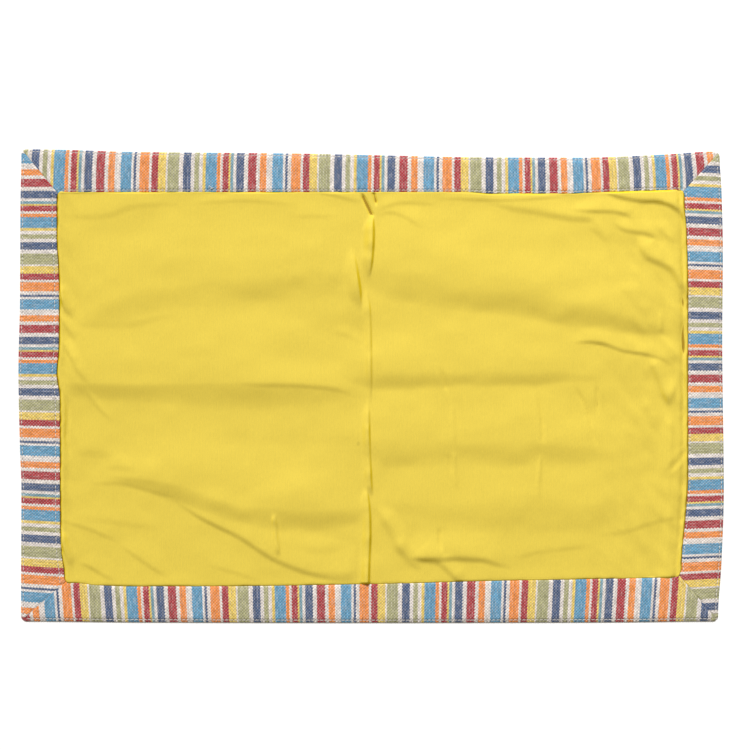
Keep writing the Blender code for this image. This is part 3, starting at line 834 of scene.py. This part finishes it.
def panel_cloth():
    """Yellow warp over slightly duller weft, with a slub, and painted shade: golden where steep, brown where
    deep.
    """
    weave = Weave("yellow cotton", YELLOW_CLOTH)
    spot = slub(weave)
    factors = [*weave.factors(), weave.math("SUBTRACT", 1.0, spot)]
    place = weave.put("ShaderNodeTexCoord", {})
    facing_up = weave.split(place["Normal"])[2]
    level = weave.split(place["Object"])[2]
    # painted shade standing in for light that bounces inside the cloth: steep faces turn golden, faces low in
    # a seam brown
    wall_shade = weave.between(weave.math("ABSOLUTE", facing_up), *WALL_SHADE_FROM)
    # painted shade deep in the seams: low faces that point up are darkened to brown
    gap_shade = weave.between(level, *(height * MM for height in GAP_SHADE_LEVELS))
    gap_shade = weave.math("MULTIPLY", gap_shade, weave.math("GREATER_THAN", facing_up, 0.0))
    colour = weave.tinted(weave.woven(YELLOW, YELLOW_WEFT, factors), PAINTED_WALL_SHADE, wall_shade)
    return weave.finish(weave.tinted(colour, PAINTED_GAP_SHADE, gap_shade), weave.height, YELLOW_CLOTH.relief)


yellow_cotton = panel_cloth()
print(len(yellow_cotton.node_tree.nodes), "nodes in the yellow cotton")

# %% Panel mesh
THINNEST = 0.3           # the panel's cloth is at least this thick, also where a seam catches it
# How far threads run out of line: (distance, size along X, size along Y, seed)
THREADS_SWAY = ((0.35, 40, 30, 21),)


def panel_piece():
    """The panel as a closed sheet: the upper face is fine, the lower face follows it where it can."""
    top = np.dstack((plan, upper))
    low = np.minimum(np.maximum(upper - SHEET_THICKNESS, TABLE_CLEARANCE), upper - THINNEST)
    points = np.concatenate((top.reshape(-1, 3), np.dstack((plan, low)).reshape(-1, 3)))
    sway = sum_of_rumples(THREADS_SWAY, points[:, 0], points[:, 1])
    threads = (points[:, :2] + sway[:, None]) / YELLOW_CLOTH[:2]
    return make_mesh("panel", points, sheet_faces(upper.shape, UNDERSIDE_STEP), threads, yellow_cotton)


panel = panel_piece()

# %% [markdown]
# ## Striped cloth
#
# The border was cut from one striped cloth. Its repeat is about 98 mm, and the chart below gives the width of
# each stripe in parts of half a millimetre. Every strip shows the chart from another place on and a little
# stretched, because strips were cut and sewn by hand, and in some the stripes lean. Short tables for each
# strip say so.

# %% Stripe chart
WHITE, RED, NAVY = linear(210, 202, 195), linear(158, 45, 52), linear(64, 83, 116)
BLUE, TEAL, ORANGE = linear(86, 142, 174), linear(106, 145, 158), linear(222, 132, 58)
OLIVE, PRIMROSE = linear(157, 155, 112), linear(215, 186, 86)
WEFT = linear(238, 234, 230)
CHART = (
    (BLUE, 14), (ORANGE, 5), (WHITE, 3), (RED, 8), (PRIMROSE, 2), (TEAL, 4), (WHITE, 4), (NAVY, 10),
    (WHITE, 5), (RED, 11), (WHITE, 5), (ORANGE, 8), (WHITE, 8), (BLUE, 14), (WHITE, 3), (NAVY, 3), (WHITE, 5),
    (ORANGE, 12), (WHITE, 3), (RED, 9), (PRIMROSE, 10), (WHITE, 2), (OLIVE, 15), (WHITE, 5), (NAVY, 10),
    (WHITE, 5), (OLIVE, 6), (WHITE, 5), (PRIMROSE, 4),
)
REPEAT_PARTS = sum(parts for _, parts in CHART)
REPEAT_ENDS = 98
SWAY = 0.16              # how far a raised end spreads to one side, in ends
print(len(CHART), "stripes in a repeat of", REPEAT_PARTS, "parts and", REPEAT_ENDS, "ends")

# %% Where each strip's stripes lie
# Start of a repeat at the strip's middle line: (place along the strip, number of the repeat)
REPEATS = {
    "top": ((-206.5, 0), (-107.7, 1), (-9.5, 2), (89.0, 3), (184.7, 4)),
    "bottom": ((-255.1, -1), (-158.8, 0), (-62.6, 1), (34.5, 2), (132.2, 3), (229.3, 4)),
    "left": ((-87.5, 0), (8.0, 1), (102.9, 2)),
    "right": ((-60.5, 2), (34.2, 1), (129.6, 0)),
}
# How much further along a stripe lies at the seam than at the hem: (place along the strip, lean)
LEAN = {
    "top": ((-215, -1.0), (71, 0.0), (214, 1.8)),
    "bottom": ((-215, -2.0), (0, 0.0), (215, 2.3)),
    "left": ((-140, -2.0), (20, 0.0), (140, 0.0)),
    "right": ((-120, -1.3), (100, 1.0)),
}
BOWED = ("top",)         # here leaning stripes bow, because the hem was stretched, and elsewhere run straight


def stripe_place(side_name, along, share):
    """Number of repeats at a place: straight lines through the table's rows, read where the stripe through
    this place crosses the middle line. Its lean grows from hem to seam as the share, or as one less the
    square of what is left."""
    def grown(share):
        return 1 - (1 - share) ** 2 if side_name in BOWED else share

    lean = np.interp(along, *np.array(LEAN[side_name]).T)
    middle = along - lean * (grown(share) - grown(0.5))
    place, number = np.array(REPEATS[side_name]).T
    slopes = np.diff(number) / np.diff(place)
    leg = np.clip(np.searchsorted(place, middle) - 1, 0, len(slopes) - 1)
    return number[leg] + slopes[leg] * (middle - place[leg])


print("the top strip starts at repeat", round(float(stripe_place("top", np.array([-226.0]), 0.5)[0]), 2))

# %% Striped material
FLECKS = (4, 11.5)               # flecks of undyed yarn: their length in picks, and a seed
UNDYED_FROM = (0.5, 0.8)         # the noise between which yarn runs from dyed to undyed
UNDYED_SHARE = 0.16


def stripes(weave):
    """The colour of each end: the chart as hard steps over one repeat, read a little to one side on even
    picks and a little to the other on odd ones."""
    sway = weave.math("MULTIPLY_ADD", weave.math("FLOORED_MODULO", weave.pick, 2.0), 2 * SWAY, -SWAY)
    repeats = weave.math("DIVIDE", weave.math("ADD", weave.across, sway), float(REPEAT_ENDS))
    chart = weave.nodes.new("ShaderNodeValToRGB")
    chart.color_ramp.interpolation = "CONSTANT"
    weave.links.new(weave.math("FRACT", repeats), chart.inputs[0])
    stops = chart.color_ramp.elements
    stops.remove(stops[1])
    done = 0
    for colour, parts in CHART:
        stop = stops.new(done / REPEAT_PARTS) if done else stops[0]
        stop.color = colour
        done += parts
    return chart.outputs[0]


def border_cloth():
    """Striped warp over white weft. Some yarn took less dye than the rest, in flecks along the ends."""
    weave = Weave("striped cotton", STRIPED)
    dyed = stripes(weave)
    undyed = weave.between(weave.streak(*FLECKS), *UNDYED_FROM, high=UNDYED_SHARE)
    yarn = weave.mixed(undyed, dyed, WHITE)
    return weave.finish(weave.woven(yarn, WEFT, weave.factors()), weave.height, STRIPED.relief)


striped_cotton = border_cloth()
print(len(striped_cotton.node_tree.nodes), "nodes in the striped cotton")

# %% [markdown]
# ## Border strips
#
# A strip is one profile carried along its side. The profile runs from under the hem, round the fold of the
# hem, over the top, round the fold of the seam and into a shallow recess, where the panel's edge lies. Each
# place of it is given as an inset from the hem or from the seam, so it spreads with the strip. Rows of
# stitches press grooves into the top, deeper at each needle hole. At a mitre the two strips lie edge to edge.

# %% Sizes of a strip
HEM_STEPS = (0.0, 0.12, 0.3, 0.55, 0.85, 1.15, 1.4, 1.65, 1.9, 2.15, 2.6, 3.2, 4.2, 5.6, 7.2, 9.0, 11.0)
SEAM_STEPS = (0.0, 0.15, 0.35, 0.6, 0.9, 1.2, 1.5, 1.8, 2.1, 2.45, 2.8, 3.15, 3.6, 4.4, 5.6, 7.2, 9.0, 11.0)
# The lower face, from the recess back to the hem: (1 beside the seam or 0 beside the hem, inset, height)
UNDER = ((1, -0.3, 0.5), (1, -1.6, 0.47), (1, -1.6, 0.03), (0, 0.5, 0.03), (0, 0.08, 0.3))
STRIP_TOP = 1.72
# How high the upper face stands at a distance from the hem or the seam: (distance, height)
HEM_ROLL = ((0, 0.38), (0.12, 0.54), (0.3, 0.72), (0.55, 0.92), (1.0, 1.2), (2.6, 1.6), (5.5, 1.72))
SEAM_FOLD = ((0, 0.8), (0.15, 1.08), (0.35, 1.26), (0.6, 1.38), (1.2, 1.5), (2.6, 1.62), (5.5, 1.72))
TIGHT_FOLD = ((0, 1.15), (0.15, 1.45), (0.35, 1.58), (0.6, 1.66), (1.2, 1.72), (2.6, 1.74), (5.5, 1.72))
SEAM_FOLDS = {"top": TIGHT_FOLD, "bottom": SEAM_FOLD, "left": TIGHT_FOLD, "right": TIGHT_FOLD}
RING_PITCH = 0.7                     # spacing of the strip's mesh along its side
MITRE_STEPS = (0.0, 0.15, 0.3, 0.5, 0.75, 1.1)       # and its closer places beside a mitre

HEM_ROW = 1.65                       # the hem's row of stitches lies this far inside the hem
SEAM_ROW = {"top": 1.2, "left": 2.8, "right": 1.0}       # and the seam's row this far outside the seam
STITCH_PITCH = 2.8
GROOVE_DEPTH, GROOVE_WIDTH = 0.34, 0.68
HOLE_SHARE = 0.5                     # a groove is deeper by this share at each needle hole
STRIP_RUMPLE = ((0.10, 14, 11, 31), (0.05, 6, 5, 32), (0.015, 2.2, 2.2, 33))
RUMPLE_EASE = 1.5                    # the rumples die out over this distance from the strip's edges
MITRE_EASE = 0.7                     # the strip dips over this distance from a mitre
MITRE_DROP = {"top_left": 0.2, "top_right": 0.2, "bottom_right": 0.25, "bottom_left": 0.1}
MITRE_GAP = 0.03
print("a strip's profile has", len(HEM_STEPS) + len(SEAM_STEPS) + len(UNDER), "places")

# %% Surface of a strip
def groove(distance, along):
    """A row of stitches as a groove: a bell over the distance from the row, deeper at the holes."""
    holes = 1 + HOLE_SHARE * np.cos(2 * math.pi * along / STITCH_PITCH)
    return GROOVE_DEPTH * holes * np.exp(-(distance / GROOVE_WIDTH) ** 2)


class Strip:
    """One border strip as a surface: shares along its side, and insets from hem and seam."""

    def __init__(self, name):
        self.name = name
        self.side = SIDES[name]
        self.run = 0 if self.side.along_x else 1
        self.length = MAT_LENGTH if self.side.along_x else MAT_WIDTH

    def edges(self, shares):
        """The hem's and the seam's points at shares of the way along, set back a hair from the mitres."""
        hem, seam = HEM.side(self.name, shares), SEAM.side(self.name, shares)
        back = MITRE_GAP * np.select([shares == shares[0], shares == shares[-1]], [1, -1], 0)
        hem[:, self.run] += back
        seam[:, self.run] += back
        return hem, seam

    def place(self, shares, seam_share, inset):
        """Points seen from above, as (ring, place), and their distances from hem and seam."""
        hem, seam = self.edges(shares)
        straight = np.abs((seam - hem)[:, 1 - self.run])[:, None]
        from_hem = seam_share * straight + inset
        places = hem[:, None] + (seam - hem)[:, None] * (from_hem / straight)[..., None]
        return places, from_hem, straight - from_hem

    def top(self, places, from_hem, from_seam):
        """Height of the upper face: flat top + roll at the hem + fold at the seam - grooves - dips at the
        mitres + unevenness."""
        along = places[..., self.run]
        height = STRIP_TOP + (smooth_through(HEM_ROLL, from_hem) - STRIP_TOP)
        height += smooth_through(SEAM_FOLDS[self.name], from_seam) - STRIP_TOP
        height -= groove(from_hem - HEM_ROW, along)
        if self.name in SEAM_ROW:
            height -= groove(from_seam - SEAM_ROW[self.name], along)
        inside = smooth_step(np.minimum(from_hem, from_seam) / RUMPLE_EASE)
        height += inside * sum_of_rumples(STRIP_RUMPLE, places[..., 0], places[..., 1])
        for corner, mitre in ((self.side.low_corner, along[:1]), (self.side.high_corner, along[-1:])):
            height -= MITRE_DROP[corner] * (1 - smooth_step(np.abs(along - mitre) / MITRE_EASE))
        return height


print("a groove is", round(float(groove(0.0, 0.0)), 2), "mm deep at a needle hole")

# %% Border strips
def strip_piece(name):
    """A strip as a closed tube whose profile is carried along its side, with both mitred ends filled."""
    strip = Strip(name)
    shares = stations(strip.length, MITRE_STEPS, RING_PITCH)
    seam_share = np.array([0] * len(HEM_STEPS) + [1] * len(SEAM_STEPS) + [row[0] for row in UNDER])
    inset = np.array(HEM_STEPS + tuple(-step for step in SEAM_STEPS[::-1]) + tuple(row[1] for row in UNDER))
    places, from_hem, from_seam = strip.place(shares, seam_share[None], inset[None])
    heights = strip.top(places, from_hem, from_seam)
    heights[:, -len(UNDER):] = [row[2] for row in UNDER]
    points = np.dstack((places, heights))
    share = from_hem / (from_hem + from_seam)
    ends = REPEAT_ENDS * stripe_place(name, places[..., strip.run], share)
    threads = np.dstack((ends, from_hem / STRIPED.pick_pitch))
    index = np.arange(heights.size).reshape(heights.shape)
    index = np.concatenate((index, index[:, :1]), axis=1)
    faces = quads(index).tolist() + [index[0, -2::-1].tolist(), index[-1, :-1].tolist()]
    if name in ("bottom", "right"):          # here the profile runs round the tube the other way
        faces = [face[::-1] for face in faces]
    points, threads = points.reshape(-1, 3), threads.reshape(-1, 2)
    return make_mesh("border_strip_" + name, points, faces, threads, striped_cotton)


strips = {name: strip_piece(name) for name in SIDES}

# %% Which way the faces point
def volume(piece):
    """Volume of a closed mesh in cubic centimetres: a sixth of the sum of its triangles' triple products."""
    mesh = piece.data
    mesh.calc_loop_triangles()
    corners = np.empty(3 * len(mesh.loop_triangles), dtype=np.int32)
    mesh.loop_triangles.foreach_get("vertices", corners)
    points = np.empty(3 * len(mesh.vertices))
    mesh.vertices.foreach_get("co", points)
    a, b, c = points.reshape(-1, 3)[corners].reshape(-1, 3, 3).transpose(1, 0, 2)
    return float(np.einsum("ij,ij->i", a, np.cross(b, c)).sum() / 6) * 1e6


for piece in (panel, *strips.values()):
    print(piece.name, "holds", round(volume(piece), 2), "cm3 (positive when its faces point out)")

# %% [markdown]
# ## Stitches
#
# The hem and most of the seam are topstitched in a pale grey thread. Each stitch is a tiny bar of thread
# whose ends dive into the cloth, and a row of them is one joined mesh, worked out as a single array. Two
# snags in the top seam have left short loose ends, which are a few more bars, turned their own way.

# %% Bars of thread
THREAD_DIAMETER = 0.42
STITCH_LENGTH = 2.35
STITCH_SIDES = 6
# Shape of one stitch: (share of its length from the middle, share of its radius, sink below the surface)
STITCH_SHAPE = ((-0.5, 0.45, 0.30), (-0.36, 0.9, 0.06), (0.0, 1.0, 0.0), (0.36, 0.9, 0.06), (0.5, 0.45, 0.30))


def bars(middles, directions, heights):
    """Bars of thread along their directions: rings of a hexagon at each place of the stitch's shape."""
    shape = np.array(STITCH_SHAPE)
    turn = np.arange(STITCH_SIDES) * 2 * math.pi / STITCH_SIDES
    radius = THREAD_DIAMETER / 2 * shape[:, 1]
    run = STITCH_LENGTH * shape[:, 0]
    across = radius[:, None] * np.cos(turn)[None]
    up = radius[:, None] * np.sin(turn)[None] - shape[:, 2:3]
    square = np.column_stack((-directions[:, 1], directions[:, 0]))
    flat = (middles[:, None, None] + run[None, :, None, None] * directions[:, None, None]
            + across[None, :, :, None] * square[:, None, None])
    return np.concatenate((flat, (heights[:, None, None] + up[None])[..., None]), axis=-1)


def bar_faces(count):
    """Faces of all bars: a tube for each, with its two ends filled."""
    shape = (count, len(STITCH_SHAPE), STITCH_SIDES)
    index = np.arange(math.prod(shape)).reshape(shape)
    ring = np.concatenate((index, index[:, :, :1]), axis=2)
    near, far = ring[:, :-1], ring[:, 1:]
    tube = np.stack((near[..., :-1], near[..., 1:], far[..., 1:], far[..., :-1]), -1).reshape(-1, 4)
    return tube.tolist() + index[:, 0, ::-1].tolist() + index[:, -1].tolist()


print("one stitch has", len(bar_faces(1)), "faces")

# %% Sewing thread
THREAD_GREY = linear(214, 210, 204)
THREAD_TONE, PLY_SHADE = 0.94, 0.08      # brightness of the thread, and its change from ply to ply
PLY_PITCH, PLY_RELIEF = 0.35, 0.02       # along the thread, and up out of it
THREAD_GRAIN, GRAIN_SWING = 300.0, 0.12  # grains to a metre, and how much they show


def thread_material():
    """Twisted sewing thread: pale, with fine slanting shade where the plies meet."""
    thread = Graph("sewing thread", roughness=0.75, sheen=0.15)
    x, y, _ = thread.split(thread.put("ShaderNodeTexCoord", {})["Object"])
    slant = thread.math("MULTIPLY", thread.math("ADD", x, y), 2 * math.pi / (PLY_PITCH * MM))
    plies = thread.math("SINE", slant)
    shade = thread.math("MULTIPLY_ADD", plies, PLY_SHADE, THREAD_TONE)
    uneven = thread.around_one(thread.grain(x, y, THREAD_GRAIN), GRAIN_SWING)
    return thread.finish(thread.scaled(thread.scaled(THREAD_GREY, shade), uneven), plies, PLY_RELIEF)


sewing_thread = thread_material()
print(len(sewing_thread.node_tree.nodes), "nodes in the sewing thread")

# %% Rows of stitches
ROW_MARGIN = 1.5             # a row stops this far short of the corners
THREAD_LIFT = 0.06           # the thread's middle lies this far above the bottom of its groove
POINTS_PER_STITCH = 4        # of the line that a row follows
# Loose ends at the snags of the top seam: (x, y, direction in degrees, height above the table)
LOOSE_ENDS = ((-105.4, 129.4, 75, 1.95), (-103.9, 129.0, 125, 1.95), (-103.4, 128.7, 20, 1.9),
              (91.6, 127.9, 100, 1.95), (93.6, 127.2, 12, 1.9))


def stitch_row(strip, beside_seam, distance):
    """One row: the middle of each stitch, its direction and its height. Needle holes lie whole pitches from
    the mat's middle, and each stitch half-way between two of them."""
    count = round(strip.length / STITCH_PITCH)
    shares = np.linspace(0, 1, POINTS_PER_STITCH * count)
    inset = np.array([[-distance if beside_seam else distance]])
    places, from_hem, from_seam = strip.place(shares, np.array([[float(beside_seam)]]), inset)
    line, level = places[:, 0], strip.top(places, from_hem, from_seam)[:, 0]
    along, across = line[:, strip.run], line[:, 1 - strip.run]
    first, last = along[0] + ROW_MARGIN, along[-1] - ROW_MARGIN
    number = np.arange(math.ceil(first / STITCH_PITCH - 0.5), math.floor(last / STITCH_PITCH - 0.5) + 1)
    at = (number + 0.5) * STITCH_PITCH
    beside = np.interp(at, along, across)
    ahead = np.interp(at + 1, along, across) - beside
    order = slice(None, None, 1 if strip.run == 0 else -1)
    middles = np.column_stack((at, beside)[order])
    directions = np.column_stack((np.ones(len(at)), ahead)[order])
    directions = directions / np.linalg.norm(directions, axis=1, keepdims=True)
    return middles, directions, np.interp(at, along, level) + THREAD_LIFT


def loose_ends():
    """The loose ends in the same form as a row of stitches."""
    x, y, degrees, level = np.array(LOOSE_ENDS).T
    turn = np.radians(degrees)
    return np.column_stack((x, y)), np.column_stack((np.cos(turn), np.sin(turn))), level


def stitch_piece(name):
    """All stitches of one strip as one mesh: the row along its hem, and perhaps one along its seam."""
    strip = Strip(name)
    rows = [stitch_row(strip, False, HEM_ROW)]
    if name in SEAM_ROW:
        rows.append(stitch_row(strip, True, SEAM_ROW[name]))
    if name == "top":
        rows.append(loose_ends())
    points = bars(*(np.concatenate(part) for part in zip(*rows)))
    faces = bar_faces(len(points))
    points = points.reshape(-1, 3)
    return make_mesh("stitches_" + name, points, faces, points[:, :2], sewing_thread)


stitches = {name: stitch_piece(name) for name in SIDES}

# %% [markdown]
# ## Floor, light and camera
#
# The mat is seen from straight above on a white floor. Low light is what makes folds and weave show, so a low
# sun shines across the mat from its top side and a little from the left, wide enough for soft shadows. A
# weaker window near the upper right corner and a pale world fill them. The picture is shown without a film
# curve, so white stays white and the dyes keep their colour.

# %% Floor
FLOOR_REACH = 30000.0                    # so far out that its end isn't near the mat in a low view
PAPER = linear(250, 250, 249)
PAPER_GRAIN, PAPER_SWING = 900.0, 0.01   # grains to a metre, and how much they show
PAPER_RELIEF = 0.01


def floor_piece():
    """A pale plane under the mat."""
    corners = np.array(((-1, -1, 0), (1, -1, 0), (1, 1, 0), (-1, 1, 0))) * FLOOR_REACH
    paper = Graph("white paper", roughness=0.9, sheen=0.0)
    x, y, _ = paper.split(paper.put("ShaderNodeTexCoord", {})["Object"])
    grain = paper.grain(x, y, PAPER_GRAIN, 2.0)
    material = paper.finish(paper.scaled(PAPER, paper.around_one(grain, PAPER_SWING)), grain, PAPER_RELIEF)
    return make_mesh("floor", corners, [[0, 1, 2, 3]], corners[:, :2], material)


floor = floor_piece()

# %% Light
SUN_FROM = (-0.31, 0.95, 0.71)
SUN_STRENGTH = 4.0
SUN_ANGLE = 14                               # its width in the sky, in degrees
SUN_COLOUR = (1.0, 0.995, 1.02)
WINDOW_PLACE = (0.28, 0.72, 0.5)             # in metres
WINDOW_SIZE, WINDOW_POWER = 0.4, 2.5         # in metres and watts
SKY_COLOUR = linear(255, 249, 236)
SKY_STRENGTH = 0.34


def put_light(name, kind, power, direction, place=(0, 0, 0)):
    """Add a lamp that shines from a direction towards the mat's middle: tipped by the angle between that
    direction and straight up, and turned by its angle round the middle."""
    lamp = bpy.data.lights.new(name, kind)
    lamp.energy = power
    holder = bpy.data.objects.new(name, lamp)
    bpy.context.scene.collection.objects.link(holder)
    x, y, z = direction
    holder.location = place
    holder.rotation_euler = (math.atan2(math.hypot(x, y), z), 0, math.atan2(x, -y))
    return holder


sun = put_light("low sun", "SUN", SUN_STRENGTH, SUN_FROM)
sun.data.angle = math.radians(SUN_ANGLE)
sun.data.color = SUN_COLOUR
window = put_light("near window", "AREA", WINDOW_POWER, WINDOW_PLACE, WINDOW_PLACE)
window.data.size = WINDOW_SIZE
window.visible_camera = False

world = bpy.data.worlds.new("soft room")
world.use_nodes = True
sky = world.node_tree.nodes["Background"]
sky.inputs["Color"].default_value = SKY_COLOUR
sky.inputs["Strength"].default_value = SKY_STRENGTH
bpy.context.scene.world = world
bpy.context.scene.view_settings.view_transform = "Standard"
print("the sun stands", 90 - round(math.degrees(sun.rotation_euler.x)), "degrees high")

# %% Camera
PICTURE_WIDTH = 487.5    # of the floor that the picture shows
PICTURE_CENTRE = (2.44, 7.31)
LENS, SENSOR = 85.0, 36.0

lens = bpy.data.cameras.new("camera")
lens.lens = LENS
lens.sensor_width = SENSOR
lens.sensor_fit = "HORIZONTAL"
camera = bpy.data.objects.new("camera", lens)
bpy.context.scene.collection.objects.link(camera)
height = PICTURE_WIDTH * LENS / SENSOR + STRIP_TOP
camera.location = (PICTURE_CENTRE[0] * MM, PICTURE_CENTRE[1] * MM, height * MM)
bpy.context.scene.camera = camera
print("the camera hangs", round(height), "mm above the table")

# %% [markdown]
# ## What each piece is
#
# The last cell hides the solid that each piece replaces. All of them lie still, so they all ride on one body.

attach(panel, "root")
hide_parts("centre_panel")

for name in SIDES:
    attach(strips[name], "root")
    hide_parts("border_" + name)
    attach(stitches[name], "root")
